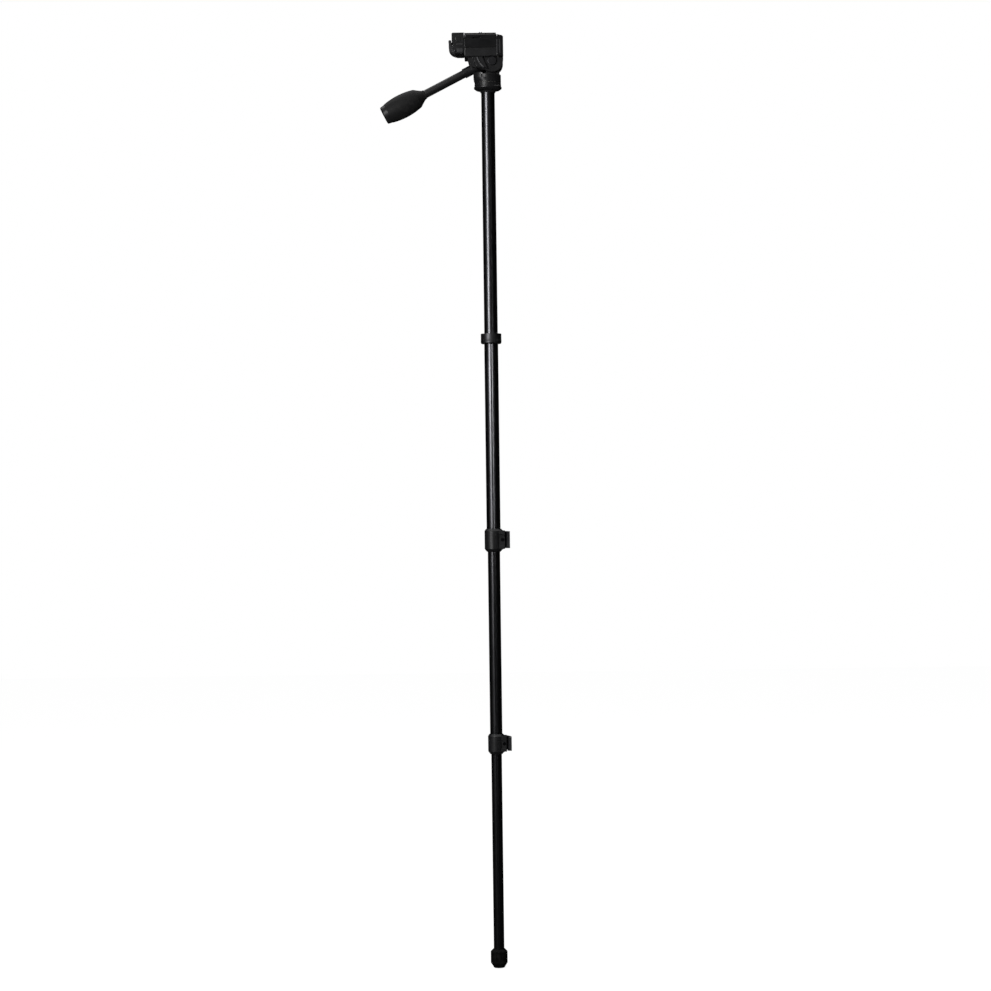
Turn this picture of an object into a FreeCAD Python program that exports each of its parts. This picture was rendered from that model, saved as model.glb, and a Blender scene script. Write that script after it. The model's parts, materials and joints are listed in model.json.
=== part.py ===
import FreeCAD, Part
import math
import os

os.makedirs("parts", exist_ok=True)

# A single-leg camera support: a three-section leg with flip locks, a plain column screwed
# into its top, and a pan, tilt and portrait head with a quick-release plate.
# Millimetres. +Z is up, +X is the side that the lens faces, -X is the side of the handle,
# and the origin is the centre of the foot's bottom face.

# Fits
run_gap = 0.05
pass_gap = 0.3
slide_gap = 0.25

# Leg tubes, numbered from the top
tube_3_r = 9.5
tube_step = 1.5
tube_wall = 1.0
tube_2_r = tube_3_r + tube_step
tube_1_r = tube_2_r + tube_step
tube_overlap = 60.0
groove_width = 3.0
groove_depth = 0.35
flute_sweep = 4.5
flute_depth = 0.45
sleeve_length = 30.0

# Heights of the leg, from the floor up
foot_height = 33.5
lower_reach = 350.5
lock_2_height = 36.0
middle_reach = 328.0
lock_1_height = 41.0
upper_reach = 333.0
collar_height = 18.0
column_reach = 440.0

# Foot
foot_wall = 5.6
foot_r = tube_3_r + foot_wall
foot_sole_r = 9.4
foot_chamfer = 8.8
foot_shoulder = 4.5
foot_rim = 1.2
foot_floor = 12.0
foot_plug_length = 20.0
foot_groove_count = 12
foot_groove_r = 1.1

# Flip locks
lock_wall = 3.9
lock_taper = 5.0
lock_shoulder = 3.6
lock_rim = 1.5
lock_lip = 2.0
fixed_band = 11.0
tube_seat = 15.0
split_width = 1.8
slit_height = 0.8
ear_reach = 4.0
ear_inset = 2.9
ear_drop = 3.2
ear_rise = 5.0
ear_edge = 1.2
web_half = 5.5
panel_depth = 0.8
panel_margin = 6.0
bolt_r = 2.0
bolt_wall = 1.5
eye_r = 3.9
eye_height = 8.0
nut_r = 3.6
nut_height = 3.0
lever_pin_r = 1.5
cam_r = 4.6
cam_lift = 0.6
lever_gap = 0.6
lever_thick = 3.9
lever_flare = 8.6
lever_trim = 1.2
lever_corner = 5.0

# Screwed joint between leg and column
collar_wall = 6.0
collar_r = tube_1_r + collar_wall
collar_taper = 1.5
collar_seat = 9.0
stud_r = 4.76
insert_length = 25.0
column_step = 0.35
column_r = tube_1_r - column_step
column_wall = 1.2
plug_length = 20.0
stud_depth = 16.0
stud_rise = 15.0

# Pan base and housing
base_r = 24.9
base_waist_r = 23.7
base_height = 10.8
base_flange = 4.5
base_edge = 1.0
base_bore_depth = 9.5
skirt_drop = 6.5
skirt_rim = 0.8
skirt_waist = 2.4
skirt_shelf = 3.4
spigot_r = 12.0
spigot_height = 11.0
spigot_neck_r = 10.0
spigot_neck = 6.6
spigot_head = 2.5
friction_ring_r = 21.5
friction_ring_height = 0.5
housing_r = 23.7
housing_height = 14.6
housing_edge = 1.5
swell = 5.0
swell_rise = 7.5
shoulder_rise = 3.2
shoulder_front = 11.5
shoulder_edge = 2.0
channel_half = 11.6
channel_slope = 39.5
channel_start = 11.0

# Tilt axis and tongue
tilt_x = 8.3
tilt_height = 48.0
tongue_r = 16.0
tongue_half = 10.4
tongue_front = 13.0
neck_back = 7.7
neck_drop = 14.4
neck_foot = 17.0
washer_height = 1.0
washer_r = 14.0
axle_r = 4.0
axle_head_r = 8.1
axle_head_height = 3.0
axle_edge = 1.0

# Tilt block
cheek_half = 19.5
cheek_r = 19.5
deck_rise = 7.2
deck_height = 15.5
deck_rear = 41.3
deck_front = 17.0
deck_half = 25.5
deck_edge = 1.5
fairing_rear = 36.0
fairing_foot = 31.4
fairing_drop = 8.5
fairing_lip = 9.7
fairing_front = 6.0
fairing_low = 15.5
rib_height = 3.4
rib_top_rear = 28.0
rib_top_front = 8.0
rib_foot_rear = 20.5
rib_foot_front = 2.0
rib_drop = 14.5
slot_roof = 16.6
rail_slot_gap = 3.4

# Handle
handle_drop = 27.0
handle_lift = 5.8
boss_r = 10.8
boss_end = 38.0
socket_r = 8.9
socket_end = 54.0
socket_bore_depth = 15.0
rod_r = 7.3
handle_stud_r = 3.0
brake_pad_r = 4.0
brake_pad_length = 4.5
grip_start = 133.0
grip_end = 217.0
grip_neck_r = 8.2
grip_neck = 3.0
grip_shoulder = 16.0
grip_shoulder_r = 17.2
grip_belly_r = 21.2
grip_tail_r = 17.9
grip_cap_step = 0.4
grip_cap_r = 16.0
grip_cap_height = 9.0
grip_cap_round = 2.5

# Portrait platform
seam = 0.6
flip_height = 15.7
jaw_room = 0.8
hinge_gap = 5.5
hinge_r = 5.0
hinge_pin_r = 2.5
hinge_rear = 38.0
hinge_front = 14.0
knuckle_length = 14.0
flip_knob_r = 8.0
flip_knob_length = 14.0
flip_screw_r = 2.0
flip_screw_depth = 12.0
flip_knob_gap = 3.7
knob_flutes = 8
flute_r = 2.0

# Quick-release clamp
rail_front = 28.4
rail_inner = 17.7
rail_drop = 15.3
rail_rise = 7.6
rail_slope = 2.0
rail_edge = 2.2
clamp_rear = 63.8
clamp_front = 41.7
clamp_inset = 4.5
clamp_half = deck_half - clamp_inset
clamp_drop = 9.5
clamp_rise = 12.2
clamp_edge = 2.5
clamp_round = 8.0
finger_depth = 2.0
finger_height = 11.0
jaw_half = 14.0
jaw_thick = 4.0
jaw_travel = 2.0
jaw_drop = 12.0
lever_pivot_x = 58.0
lever_pivot_drop = 4.5
hub_r = 5.4
qr_pin_r = 1.75
qr_lever_half = 15.0
qr_lever_thick = 4.4
qr_waist_x = 69.2
qr_waist_rise = 9.0
qr_belly = 3.4
qr_tip_x = 69.0
qr_tip_drop = 3.2
qr_clear = 8.0
level_x = 52.4
level_r = 3.4
level_cap_r = 4.9
level_cap_height = 1.6
level_length = 22.0
level_window = 5.4

# Quick-release plate
plate_rear = 41.2
plate_front = 17.2
plate_half = 21.0
plate_foot = 4.6
plate_height = 4.4
plate_corner = 3.0
dovetail_run = 2.1
dovetail_gap = 0.3
notch_rear = 26.0
notch_front = 12.0
notch_height = 4.0
notch_depth = 3.0
pad_height = 2.6
pad_inset = 1.4
camera_screw_r = 3.175
camera_screw_rise = 5.0
screw_neck_r = 2.55
thread_gap = 0.4
thread_edge = 0.6
screw_head_r = 8.0
screw_head_height = 3.0
coin_slot = 1.6
clip_r = 5.6
clip_height = 0.8

# Pan lock
pan_knob_r = 9.5
pan_knob_length = 15.0
pan_knob_gap = 2.0
pan_boss_r = 4.8
pan_boss_reach = 2.5
pan_screw_r = 2.5
grub_r = 2.0

# Heights worked out from the sizes above
lock_2_z = foot_height + lower_reach
lock_1_z = lock_2_z + lock_2_height + middle_reach
collar_z = lock_1_z + lock_1_height + upper_reach
column_z = collar_z + collar_seat
head_z = collar_z + collar_height + column_reach
pan_z = head_z + base_height
housing_z = pan_z + friction_ring_height + run_gap
housing_top = housing_z + housing_height
tilt_z = head_z + tilt_height
deck_z = tilt_z + deck_rise
deck_top = deck_z + deck_height
flip_z = deck_top + seam
seat_z = flip_z + flip_height
cheek_inner = tongue_half + washer_height + 2 * run_gap
hinge_y = deck_half + hinge_gap
hinge_z = deck_top + seam / 2
neck_z = housing_z + spigot_height - spigot_head - spigot_neck
screw_z = neck_z + spigot_neck / 2


def at(x, y, z):
    return FreeCAD.Vector(x, y, z)


def face_of(corners):
    return Part.Face(Part.makePolygon(corners + corners[:1]))


def turned(outline):
    """Turn an (r, z) outline about the Z axis."""
    return face_of([at(r, 0, z) for r, z in outline]).revolve(at(0, 0, 0), at(0, 0, 1), 360)


def side_plate(outline, y0, y1):
    """Give an (x, z) outline its thickness along Y."""
    return face_of([at(x, y0, z) for x, z in outline]).extrude(at(0, y1 - y0, 0))


def block(x0, x1, y0, y1, z0, z1):
    return Part.makeBox(x1 - x0, y1 - y0, z1 - z0, at(x0, y0, z0))


def post(r, z0, z1, x=0.0, y=0.0):
    return Part.makeCylinder(r, z1 - z0, at(x, y, z0))


def ring(r_out, r_in, z0, z1, x=0.0, y=0.0):
    return post(r_out, z0, z1, x, y).cut(post(r_in, z0, z1, x, y))


def bar_y(r, x, z, y0, y1):
    return Part.makeCylinder(r, y1 - y0, at(x, y0, z), at(0, 1, 0))


def bar_x(r, y, z, x0, x1):
    return Part.makeCylinder(r, x1 - x0, at(x0, y, z), at(1, 0, 0))


def joined(shapes):
    return shapes[0].fuse(shapes[1:]).removeSplitter()


def rounded(shape, radius, wanted):
    edges = [edge for edge in shape.Edges if wanted(edge)]
    return shape.makeFillet(radius, edges)


def bevelled(shape, size, wanted):
    edges = [edge for edge in shape.Edges if wanted(edge)]
    return shape.makeChamfer(size, edges)


def upright(edge):
    box = edge.BoundBox
    return box.XLength < 0.01 and box.YLength < 0.01


def level_at(edge, z):
    return abs(edge.BoundBox.ZMin - z) < 0.01 and abs(edge.BoundBox.ZMax - z) < 0.01


def across_at(edge, y):
    return abs(edge.BoundBox.YMin - y) < 0.01 and abs(edge.BoundBox.YMax - y) < 0.01


def hexagon(across_corners_r, x, z, y0, y1):
    turns = [math.radians(60 * k + 30) for k in range(6)]
    outline = [(x + across_corners_r * math.cos(a), z + across_corners_r * math.sin(a)) for a in turns]
    return side_plate(outline, y0, y1)


def save(name, *solids):
    shape = solids[0] if len(solids) == 1 else Part.makeCompound(list(solids))
    shape.exportStep(os.path.join("parts", name + ".step"))


# Upper tube, with a shallow hollow flute down the front and back
def fluted_tube(radius, z0, z1):
    wall = ring(radius, radius - tube_wall, z0, z1)
    reach = radius - flute_depth + flute_sweep
    return wall.cut(post(flute_sweep, z0, z1, 0, reach)).cut(post(flute_sweep, z0, z1, 0, -reach))


# Inner tubes, with a square key groove on the front and back
def leg_tube(radius, z0, z1):
    wall = ring(radius, radius - tube_wall, z0, z1)
    reach = radius - groove_depth
    for side in (1, -1):
        y_in, y_out = sorted((side * reach, side * (radius + 1)))
        wall = wall.cut(block(-groove_width / 2, groove_width / 2, y_in, y_out, z0, z1))
    return wall


def tube_sleeve(radius, outer_radius, z_top):
    bore = outer_radius - tube_wall - run_gap
    return ring(bore, radius + run_gap, z_top - sleeve_length, z_top)


def make_leg():
    save("leg_tube_1", fluted_tube(tube_1_r, lock_1_z + lock_1_height - tube_seat, column_z))
    tube_2_top = lock_1_z + tube_overlap
    save("leg_tube_2", leg_tube(tube_2_r, lock_2_z + lock_2_height - tube_seat, tube_2_top))
    save("tube_2_sleeve", tube_sleeve(tube_2_r, tube_1_r, tube_2_top))
    tube_3_top = lock_2_z + tube_overlap
    save("leg_tube_3", leg_tube(tube_3_r, foot_floor, tube_3_top))
    save("tube_3_sleeve", tube_sleeve(tube_3_r, tube_2_r, tube_3_top))


# Rubber foot and the plug that closes the lowest tube
def make_foot():
    top = foot_height - foot_shoulder
    shell = turned([
        (0, 0),
        (foot_sole_r, 0),
        (foot_r, foot_chamfer),
        (foot_r, top),
        (tube_3_r + foot_rim, foot_height),
        (tube_3_r, foot_height),
        (tube_3_r, foot_floor),
        (0, foot_floor),
    ])
    for k in range(foot_groove_count):
        angle = 2 * math.pi * (k + 0.5) / foot_groove_count
        x = foot_r * math.cos(angle)
        y = foot_r * math.sin(angle)
        shell = shell.cut(post(foot_groove_r, foot_chamfer + 3, foot_height, x, y))
    save("foot_rubber", shell)
    save("foot_plug", post(tube_3_r - tube_wall, foot_floor, foot_floor + foot_plug_length))


# Curved web that runs the ears into the collar above and below
def ear_web(z0, z1, ear_x, outer_r, inner_r):
    half = web_half
    top = at(outer_r + lock_rim / 2, -half, z1 - 0.4)
    foot = at(inner_r + lock_rim / 2, -half, z0 + 0.4)
    end_top = at(ear_x - ear_edge, -half, z1 - ear_drop)
    end_foot = at(ear_x - ear_edge, -half, z0 + ear_rise)
    dip_top = at((top.x + end_top.x) / 2 - 0.8, -half, end_top.z + 1.1)
    dip_foot = at((foot.x + end_foot.x) / 2 - 1.2, -half, end_foot.z - 2.2)
    edges = [
        Part.LineSegment(at(2, -half, top.z), top).toShape(),
        Part.Arc(top, dip_top, end_top).toShape(),
        Part.LineSegment(end_top, end_foot).toShape(),
        Part.Arc(end_foot, dip_foot, foot).toShape(),
        Part.LineSegment(foot, at(2, -half, foot.z)).toShape(),
        Part.LineSegment(at(2, -half, foot.z), at(2, -half, top.z)).toShape(),
    ]
    return Part.Face(Part.Wire(edges)).extrude(at(0, 2 * half, 0))


# Flip lock: a split collar on the upper tube's end that clamps the tube below
def lock_collar(z0, z1, outer_r, inner_r):
    body_r = outer_r + lock_wall
    ear_x = body_r + ear_reach
    ear_y = body_r - ear_inset
    split_z = z1 - fixed_band
    body = turned([
        (0, z0),
        (inner_r + lock_rim, z0),
        (body_r, z0 + lock_taper),
        (body_r, z1 - lock_shoulder),
        (outer_r + lock_rim, z1),
        (0, z1),
    ])
    ears = block(0, ear_x, -ear_y, ear_y, z0 + ear_rise, z1 - ear_drop)
    ears = rounded(ears, ear_edge, lambda e: upright(e) and e.BoundBox.XMin > ear_x - 1)
    collar = joined([body, ears, ear_web(z0, z1, ear_x, outer_r, inner_r)])
    collar = collar.cut(post(inner_r + slide_gap, z0 - 1, z0 + lock_lip))
    collar = collar.cut(post(outer_r, z0 + lock_lip, z1 + 1))
    half = split_width / 2
    collar = collar.cut(block(0, ear_x + 1, -half, half, z0 - 1, split_z + slit_height))
    collar = collar.cut(block(split_width, ear_x + 1, -body_r, body_r, split_z, split_z + slit_height))
    panel = block(body_r / 2, ear_x - 1.5, 0, panel_depth, z0 + lock_taper + panel_margin, split_z - 1)
    for y in (-ear_y, ear_y - panel_depth):
        placed = panel.copy()
        placed.translate(at(0, y, 0))
        collar = collar.cut(placed)
    bolt_x = outer_r + bolt_wall + bolt_r
    mid_z = (z0 + ear_rise + z1 - ear_drop) / 2
    collar = collar.cut(bar_y(bolt_r, bolt_x, mid_z, -ear_y - 1, ear_y + 1))
    nut_face = -ear_y + panel_depth
    collar = collar.cut(hexagon(nut_r, bolt_x, mid_z, nut_face - 1, nut_face + nut_height))
    return collar


def lock_liner(z0, z1, outer_r, inner_r):
    top = z1 - tube_seat
    liner = ring(outer_r, inner_r + run_gap, z0 + lock_lip, top)
    liner = liner.cut(block(0, outer_r + 1, -split_width / 2, split_width / 2, z0, top))
    key_half = groove_width / 2 - slide_gap
    keys = []
    for side in (1, -1):
        y_in, y_out = sorted((side * (inner_r - groove_depth + run_gap), side * (inner_r + 0.5)))
        keys.append(block(-key_half, key_half, y_in, y_out, z0 + lock_lip, top))
    return joined([liner] + keys)


def lock_bolt(x, pin_y, ear_y, mid_z):
    shank = bar_y(bolt_r, x, mid_z, -ear_y + panel_depth, pin_y)
    eye = post(eye_r, mid_z - eye_height / 2, mid_z + eye_height / 2, x, pin_y)
    hole = post(lever_pin_r, mid_z - eye_height, mid_z + eye_height, x, pin_y)
    return joined([shank, eye]).cut(hole)


def lock_lever(z0, z1, ear_x, ear_y, bolt_x, pin_y, mid_z):
    low = z0 + ear_rise + lever_trim
    high = z1 - ear_drop - lever_trim
    inner_x = ear_x + lever_gap
    tip_y = -ear_y - 1.0
    back = at(bolt_x, pin_y + cam_r - cam_lift, low)
    bulge = at(inner_x + lever_thick, ear_y * 0.62, low)
    tip_out = at(inner_x + lever_flare - 0.5, tip_y, low)
    tip_in = at(tip_out.x - lever_thick, tip_y - 0.6, low)
    bend = at(inner_x, -ear_y * 0.3, low)
    root = at(inner_x, pin_y - cam_r, low)
    edges = [
        Part.Arc(back, bulge, tip_out).toShape(),
        Part.LineSegment(tip_out, tip_in).toShape(),
        Part.LineSegment(tip_in, bend).toShape(),
        Part.LineSegment(bend, root).toShape(),
        Part.LineSegment(root, at(bolt_x, pin_y, low)).toShape(),
        Part.LineSegment(at(bolt_x, pin_y, low), back).toShape(),
    ]
    arm = Part.Face(Part.Wire(edges)).extrude(at(0, 0, high - low))
    cam = post(cam_r, low, high, bolt_x, pin_y - cam_lift)
    window = block(bolt_x - 20, bolt_x + 20, tip_y - 2, pin_y + cam_r + 2, low, high)
    window = rounded(window, lever_corner, lambda e: e.BoundBox.XLength > 1 and e.BoundBox.YMax < tip_y)
    lever = joined([arm, cam]).common(window)
    slot = post(eye_r + slide_gap, mid_z - eye_height / 2 - slide_gap,
                mid_z + eye_height / 2 + slide_gap, bolt_x, pin_y)
    entry = block(bolt_x - cam_r - 1, bolt_x + bolt_r + slide_gap, pin_y - cam_r - 3, pin_y,
                  mid_z - eye_height / 2 - slide_gap, mid_z + eye_height / 2 + slide_gap)
    sweep = block(bolt_x - cam_r - 1, bolt_x, pin_y - cam_r - 3, pin_y + cam_r + 1,
                  mid_z - eye_height / 2 - slide_gap, mid_z + eye_height / 2 + slide_gap)
    hole = post(lever_pin_r + run_gap, low, high, bolt_x, pin_y)
    return lever.cut(slot).cut(entry).cut(sweep).cut(hole)


def make_lock(name, z0, height, outer_r, inner_r):
    z1 = z0 + height
    body_r = outer_r + lock_wall
    ear_x = body_r + ear_reach
    ear_y = body_r - ear_inset
    bolt_x = outer_r + bolt_wall + bolt_r
    pin_y = ear_y + cam_r + cam_lift + run_gap
    mid_z = (z0 + ear_rise + z1 - ear_drop) / 2
    save(name + "_collar", lock_collar(z0, z1, outer_r, inner_r))
    save(name + "_liner", lock_liner(z0, z1, outer_r, inner_r))
    save(name + "_bolt", lock_bolt(bolt_x, pin_y, ear_y, mid_z))
    nut_face = -ear_y + panel_depth
    nut = hexagon(nut_r, bolt_x, mid_z, nut_face, nut_face + nut_height)
    save(name + "_nut", nut.cut(bar_y(bolt_r, bolt_x, mid_z, nut_face - 1, nut_face + nut_height + 1)))
    save(name + "_lever", lock_lever(z0, z1, ear_x, ear_y, bolt_x, pin_y, mid_z))
    low = z0 + ear_rise + lever_trim
    high = z1 - ear_drop - lever_trim
    save(name + "_pin", post(lever_pin_r, low, high, bolt_x, pin_y))


# Collar, insert and studs that join the leg, the column and the head
def make_column():
    top = collar_z + collar_height
    collar = turned([
        (tube_1_r, collar_z),
        (collar_r - collar_taper, collar_z),
        (collar_r, collar_z + collar_taper),
        (collar_r, top),
        (column_r, top),
        (column_r, column_z),
        (tube_1_r, column_z),
    ])
    save("leg_top_collar", collar)
    insert = ring(tube_1_r - tube_wall, stud_r, column_z - insert_length, column_z)
    save("leg_insert", insert)
    bore = column_r - column_wall
    save("column_bottom_plug", ring(bore, stud_r, column_z, column_z + plug_length))
    save("column_stud", post(stud_r, column_z - stud_depth, column_z + stud_rise))
    save("column_tube", ring(column_r, bore, column_z, head_z))
    save("column_top_plug", ring(bore, stud_r, head_z - plug_length, head_z))
    save("head_stud", post(stud_r, head_z - stud_rise, head_z + base_bore_depth - 0.5))


# Pan base: flange, waist and a spigot that the housing turns on
def make_pan_base():
    spigot_top = housing_z + spigot_height
    base = turned([
        (0, head_z),
        (column_r, head_z),
        (column_r, head_z - skirt_drop),
        (column_r + skirt_rim, head_z - skirt_drop),
        (column_r + skirt_waist, head_z - skirt_drop / 2),
        (base_r - skirt_shelf, head_z - skirt_drop / 4),
        (base_r, head_z + base_edge),
        (base_r, head_z + base_flange - base_edge),
        (base_waist_r, head_z + base_flange),
        (base_waist_r, pan_z),
        (spigot_r, pan_z),
        (spigot_r, neck_z),
        (spigot_neck_r, neck_z + 0.5),
        (spigot_neck_r, neck_z + spigot_neck - 0.5),
        (spigot_r, neck_z + spigot_neck),
        (spigot_r, spigot_top),
        (0, spigot_top),
    ])
    save("pan_base", base.cut(post(stud_r, head_z - 1, head_z + base_bore_depth)))
    save("pan_friction_ring", ring(friction_ring_r, spigot_r + slide_gap, pan_z, housing_z - run_gap))


def tongue():
    disc = bar_y(tongue_r, tilt_x, tilt_z, -tongue_half, tongue_half)
    neck = side_plate([
        (tilt_x, tilt_z),
        (tilt_x + tongue_front, tilt_z),
        (tilt_x + tongue_front, housing_top - 1),
        (tilt_x - neck_foot, housing_top - 1),
        (tilt_x - neck_back, tilt_z - neck_drop),
    ], -tongue_half, tongue_half)
    return disc, neck


def handle_channel():
    slope = math.tan(math.radians(channel_slope))
    rear = housing_r + 20
    drop = (rear - channel_start) * slope
    return side_plate([
        (-channel_start, housing_top),
        (-channel_start + 1, housing_top + 20),
        (-rear, housing_top + 20),
        (-rear, housing_top - drop),
    ], -channel_half, channel_half)


def make_pan_housing():
    drum = post(housing_r, housing_z, housing_top)
    drum = rounded(drum, housing_edge, lambda e: level_at(e, housing_top))
    pieces = [drum]
    low = Part.Wire(Part.makeCircle(housing_r - 0.1, at(0, 0, housing_z + housing_edge / 2)))
    swell_z = housing_z + swell_rise
    high = Part.Wire(Part.makeCircle(housing_r - 0.1, at(-swell, 0, swell_z)))
    pieces.append(Part.makeLoft([low, high], True, True))
    shoulder_top = housing_top + shoulder_rise
    crown = post(housing_r - 0.1, swell_z, shoulder_top, -swell)
    crown = crown.common(block(-housing_r - swell, -shoulder_front, -housing_r, housing_r, swell_z, shoulder_top))
    pieces.append(rounded(crown, shoulder_edge, lambda e: level_at(e, shoulder_top)))
    pieces.extend(tongue())
    boss = bar_y(pan_boss_r, 0, screw_z, housing_r - 3, housing_r + pan_boss_reach)
    pieces.append(boss)
    housing = joined(pieces)
    housing = housing.cut(handle_channel())
    housing = housing.cut(post(spigot_r + run_gap, housing_z - 1, housing_z + spigot_height + pass_gap))
    housing = housing.cut(bar_y(axle_r + run_gap, tilt_x, tilt_z, -tongue_half - 1, tongue_half + 1))
    housing = housing.cut(bar_y(pan_screw_r + run_gap, 0, screw_z, 0, housing_r + 10))
    grub = Part.makeCylinder(grub_r, housing_r + 10, at(0, 0, screw_z), at(0.8, 0.6, 0))
    save("pan_housing", housing.cut(grub))
    reach = housing_r - 1.5
    tip = spigot_neck_r + pass_gap
    start = at(0.8 * tip, 0.6 * tip, screw_z)
    save("pan_retaining_screw", Part.makeCylinder(grub_r, reach - tip, start, at(0.8, 0.6, 0)))


# A round knob with finger flutes, made standing on z = 0
def knob(radius, length, bore_r):
    body = post(radius, 0, length)
    body = rounded(body, 1.5, lambda e: level_at(e, length) or level_at(e, 0))
    for k in range(knob_flutes):
        angle = 2 * math.pi * k / knob_flutes
        reach = radius + flute_r * 0.45
        body = body.cut(post(flute_r, -1, length - 2.5, reach * math.cos(angle), reach * math.sin(angle)))
    return body.cut(post(bore_r, -1, length / 2))


def turned_to(shape, place, direction):
    moved = shape.copy()
    moved.Placement = FreeCAD.Placement(place, FreeCAD.Rotation(at(0, 0, 1), direction))
    return moved


def make_pan_lock():
    knob_y = housing_r + pan_boss_reach + pan_knob_gap
    handwheel = turned_to(knob(pan_knob_r, pan_knob_length, pan_screw_r), at(0, knob_y, screw_z), at(0, 1, 0))
    save("pan_lock_knob", handwheel)
    tip = spigot_neck_r + pass_gap
    save("pan_lock_screw", bar_y(pan_screw_r, 0, screw_z, tip, knob_y + pan_knob_length / 2))


# Handle frame: local Z runs out along the handle from beside the tilt axis
handle_angle = math.radians(handle_drop)
handle_way = at(-math.cos(handle_angle), 0, -math.sin(handle_angle))
handle_root = at(tilt_x - handle_lift * math.sin(handle_angle), 0, tilt_z + handle_lift * math.cos(handle_angle))


def on_handle(shape):
    return turned_to(shape, handle_root, handle_way)


# Tilt block: deck above, two cheeks astride the tongue and a boss for the handle
def cheek(side):
    y0, y1 = sorted((side * cheek_inner, side * cheek_half))
    disc = bar_y(cheek_r, tilt_x, tilt_z, y0, y1)
    disc = disc.cut(block(deck_front, rail_front + 5, y0, y1, deck_z - 1 - pass_gap, deck_z + 30))
    web = side_plate([
        (-fairing_rear, deck_z + 1),
        (-fairing_foot, tilt_z - fairing_drop),
        (-fairing_foot + 3, tilt_z - fairing_lip),
        (-fairing_front, tilt_z - fairing_low),
        (tilt_x, tilt_z),
        (deck_front, deck_z + 1),
    ], y0, y1)
    r0, r1 = sorted((side * (cheek_half - 1), side * (cheek_half + rib_height)))
    rib = side_plate([
        (-rib_top_rear, deck_z + 1),
        (-rib_foot_rear, tilt_z - rib_drop + 2),
        (rib_foot_front, tilt_z - rib_drop),
        (-rib_top_front, deck_z + 1),
    ], r0, r1)
    face_y = side * (cheek_half + rib_height)
    rib = bevelled(rib, rib_height * 0.55, lambda e: across_at(e, face_y) and not level_at(e, deck_z + 1))
    return disc.fuse(web), rib


def make_tilt_block():
    deck = block(-deck_rear, deck_front, -deck_half, deck_half, deck_z, deck_top)
    deck = rounded(deck, deck_edge, lambda e: upright(e) or (level_at(e, deck_z) and e.Length > deck_half))
    pieces = [deck]
    for side in (1, -1):
        pieces.extend(cheek(side))
    saddle_low = tilt_z - handle_lift
    saddle = block(-fairing_rear + 4, tilt_x, -cheek_inner - 1, cheek_inner + 1, saddle_low, deck_z + 1)
    wedge = side_plate([
        (-fairing_rear + 0.5, deck_z + 1),
        (-fairing_foot - 0.3, saddle_low),
        (tilt_x, saddle_low),
        (tilt_x, deck_z + 1),
    ], -cheek_inner - 1, cheek_inner + 1)
    pieces.append(saddle.common(wedge))
    pieces.append(on_handle(post(boss_r, tongue_r - 2, boss_end)))
    pieces.append(on_handle(post(socket_r, tongue_r - 2, socket_end)))
    lower = [(-hinge_rear, -hinge_rear + knuckle_length), (hinge_front - knuckle_length, hinge_front)]
    for x0, x1 in lower:
        pieces.append(bar_x(hinge_r, hinge_y, hinge_z, x0, x1))
        pieces.append(block(x0, x1, deck_half - 2, hinge_y, hinge_z - hinge_r, deck_top))
    body = joined(pieces)
    slot_half = cheek_inner
    body = body.cut(bar_y(slot_roof, tilt_x, tilt_z, -slot_half, slot_half))
    body = body.cut(block(tilt_x, deck_front + 20, -slot_half, slot_half, tilt_z - 1, tilt_z + slot_roof))
    body = body.cut(bar_y(axle_r, tilt_x, tilt_z, -cheek_half - 1, cheek_half + 1))
    for y0, y1 in ((-deck_half - 1, -cheek_half), (cheek_half, deck_half + 1)):
        body = body.cut(bar_y(axle_head_r + pass_gap, tilt_x, tilt_z, y0, y1))
    body = body.cut(on_handle(post(rod_r + run_gap, socket_end - socket_bore_depth, socket_end + 1)))
    body = body.cut(on_handle(post(brake_pad_r + run_gap, tongue_r - 4, socket_end - socket_bore_depth)))
    body = body.cut(bar_x(hinge_pin_r, hinge_y, hinge_z, -hinge_rear - 1, hinge_front + 1))
    save("tilt_block", body)


def make_tilt_axle():
    face = -cheek_half
    head = bar_y(axle_head_r, tilt_x, tilt_z, face - axle_head_height, face)
    head = rounded(head, axle_edge, lambda e: across_at(e, face - axle_head_height))
    shank = bar_y(axle_r, tilt_x, tilt_z, face - 1, cheek_half + axle_head_height)
    save("tilt_axle", joined([head, shank]))
    nut = hexagon(axle_head_r, tilt_x, tilt_z, cheek_half, cheek_half + axle_head_height)
    save("tilt_axle_nut", nut.cut(bar_y(axle_r, tilt_x, tilt_z, 0, cheek_half + 10)))
    washers = []
    for side in (1, -1):
        y0, y1 = sorted((side * (tongue_half + run_gap), side * (cheek_inner - run_gap)))
        washer = bar_y(washer_r, tilt_x, tilt_z, y0, y1)
        washers.append(washer.cut(bar_y(axle_r, tilt_x, tilt_z, y0 - 1, y1 + 1)))
    save("tilt_friction_washers", *washers)
    reach = math.sqrt(tongue_r ** 2 - (handle_lift - brake_pad_r) ** 2)
    pad = on_handle(post(brake_pad_r, tongue_r - 4, reach + brake_pad_length))
    pad = pad.cut(bar_y(tongue_r + pass_gap, tilt_x, tilt_z, -tongue_half, tongue_half))
    save("tilt_brake_pad", pad)


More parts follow.
